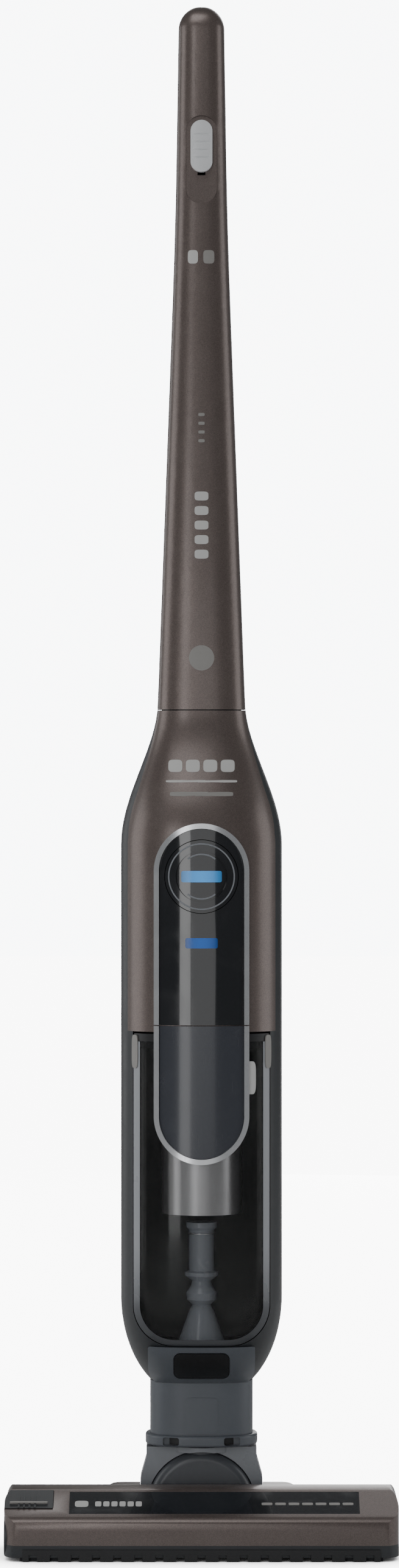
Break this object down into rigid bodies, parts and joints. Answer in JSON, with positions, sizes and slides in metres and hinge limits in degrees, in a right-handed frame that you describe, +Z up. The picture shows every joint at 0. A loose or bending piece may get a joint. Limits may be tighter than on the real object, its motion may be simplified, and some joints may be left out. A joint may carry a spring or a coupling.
{
  "type": "cordless stick vacuum",
  "caption": "Upright cordless stick vacuum with a wide powered floor head, swivelling neck, clear dust container with an oval front panel, rear battery and tapered handle.",
  "frame": {"origin": "on the floor, at the middle of the footprint's bounding box", "axes": "+Z up along the body and handle, -Y towards the front of the floor head, X along the floor head's width"},
  "size_m": [0.292, 0.149, 1.167],
  "materials": {
    "bronze": "fine metallic bronze-grey, satin gloss",
    "black_satin": "dark satin plastic",
    "gloss_dark": "high gloss dark",
    "panel_dark": "satin dark blue-grey",
    "ring_silver": "bright silver paint",
    "light_grey": "light grey",
    "blue_lens": "clear blue light window",
    "smoke_clear": "clear smoked plastic",
    "silver_satin": "silver satin",
    "neck_grey": "blue-grey satin",
    "mid_grey": "mid grey satin",
    "filter_foam": "open foam",
    "filter_fleece": "pleated fleece",
    "rubber": "soft matt rubber",
    "felt": "pressed felt",
    "steel": "bright steel",
    "motor_metal": "plain metal",
    "cell_wrap": "shrink film",
    "board": "printed circuit board",
    "bristle": "nylon bristles",
    "red_core": "satin red"
  },
  "bodies": {
    "floor_head": {"head_base": "black_satin", "head_cover": "bronze", "cover_inlay": "gloss_dark", "front_lip": "black_satin", "glide_pads": "felt", "head_screws": "steel", "brush_motor": "motor_metal", "drive_belt": "rubber", "hinge_pins": "steel", "wheel_axles": "steel"},
    "brush_cap": {"brush_end_cap": "black_satin"},
    "brush": {"brush_core": "red_core", "brush_bristles": "bristle"},
    "driven_pulley": {"brush_pulley": "mid_grey"},
    "driving_pulley": {"motor_pulley": "steel"},
    "latch": {"brush_latch": "black_satin"},
    "left_wheel": {"left_wheel_hub": "black_satin", "left_wheel_tyre": "rubber"},
    "right_wheel": {"right_wheel_hub": "black_satin", "right_wheel_tyre": "rubber"},
    "elbow": {"neck_fork": "mid_grey", "neck_elbow": "black_satin"},
    "upper": {"neck_tube": "neck_grey", "inlet_duct": "black_satin", "rear_housing": "black_satin", "container_bay": "black_satin", "coupling_cover": "mid_grey", "front_shell": "bronze", "motor_case": "black_satin", "motor_can": "motor_metal", "control_board": "board", "panel_upper": "gloss_dark", "bezel_upper": "ring_silver", "sensor_lens": "blue_lens", "charge_socket": "black_satin", "exhaust_filters": "filter_foam", "handle_front": "bronze", "handle_rear": "black_satin", "grip_pad": "rubber", "switch_plate": "black_satin", "handle_screw": "steel", "wiring_harness": "rubber"},
    "neck_button": {"nozzle_release": "black_satin"},
    "container_button": {"release_button": "gloss_dark", "button_lens": "blue_lens"},
    "slider": {"power_slider": "light_grey"},
    "battery": {"battery_case": "black_satin", "battery_cells": "cell_wrap"},
    "battery_catch": {"battery_latch": "mid_grey"},
    "rotor": {"impeller": "motor_metal", "motor_shaft": "steel"},
    "dust_container": {"container_shell": "smoke_clear", "container_frame": "mid_grey", "container_lid": "black_satin", "cyclone_tube": "silver_satin", "filter_cartridge": "filter_fleece", "dust_column": "black_satin", "lid_seal": "rubber", "panel_lower": "panel_dark", "bezel_lower": "ring_silver"}
  },
  "joints": [
    {"name": "neck_tilt", "type": "hinge", "parent": "floor_head", "child": "elbow", "pos_m": [0, 0.02065, 0.03], "axis": [-1, 0, 0], "range_deg": [0, 80]},
    {"name": "neck_swivel", "type": "hinge", "parent": "elbow", "child": "upper", "pos_m": [0, 0.02065, 0.085], "axis": [0, 0, 1], "range_deg": [-60, 60]},
    {"name": "brush_withdraw", "type": "slide", "parent": "floor_head", "child": "brush_cap", "axis": [-1, 0, 0], "range_m": [0, 0.26]},
    {"name": "brush_spin", "type": "hinge", "parent": "brush_cap", "child": "brush", "pos_m": [0, -0.04935, 0.0165], "axis": [1, 0, 0], "continuous": true},
    {"name": "brush_pulley_spin", "type": "hinge", "parent": "floor_head", "child": "driven_pulley", "pos_m": [0.129, -0.04935, 0.0165], "axis": [1, 0, 0], "continuous": true},
    {"name": "motor_pulley_spin", "type": "hinge", "parent": "floor_head", "child": "driving_pulley", "pos_m": [0.129, -0.01335, 0.022], "axis": [1, 0, 0], "continuous": true},
    {"name": "brush_latch_slide", "type": "slide", "parent": "floor_head", "child": "latch", "axis": [-1, 0, 0], "range_m": [0, 0.004], "stiffness_N_per_m": 300},
    {"name": "left_wheel_spin", "type": "hinge", "parent": "floor_head", "child": "left_wheel", "pos_m": [-0.06, 0.03265, 0.0145], "axis": [1, 0, 0], "continuous": true},
    {"name": "right_wheel_spin", "type": "hinge", "parent": "floor_head", "child": "right_wheel", "pos_m": [0.06, 0.03265, 0.0145], "axis": [1, 0, 0], "continuous": true},
    {"name": "neck_button_press", "type": "slide", "parent": "upper", "child": "neck_button", "axis": [0, 1, 0], "range_m": [0, 0.0025], "stiffness_N_per_m": 400},
    {"name": "container_button_press", "type": "slide", "parent": "upper", "child": "container_button", "axis": [0, 1, 0], "range_m": [0, 0.003], "stiffness_N_per_m": 400},
    {"name": "power_slider_move", "type": "slide", "parent": "upper", "child": "slider", "axis": [0, -0.0954, -0.9954], "range_m": [0, 0.013]},
    {"name": "battery_withdraw", "type": "slide", "parent": "upper", "child": "battery", "axis": [0, 1, 0], "range_m": [0, 0.06]},
    {"name": "battery_catch_press", "type": "slide", "parent": "upper", "child": "battery_catch", "axis": [0, -1, 0], "range_m": [0, 0.002], "stiffness_N_per_m": 400},
    {"name": "fan_spin", "type": "hinge", "parent": "upper", "child": "rotor", "pos_m": [0, -0.00535, 0.44], "axis": [0, 0, 1], "continuous": true},
    {"name": "container_withdraw", "type": "slide", "parent": "upper", "child": "dust_container", "axis": [0, -1, 0], "range_m": [0, 0.12]}
  ],
  "couplings": [
    {"joint": "brush_pulley_spin", "follows": "brush_spin", "ratio": 1},
    {"joint": "motor_pulley_spin", "follows": "brush_spin", "ratio": 1.8333}
  ]
}
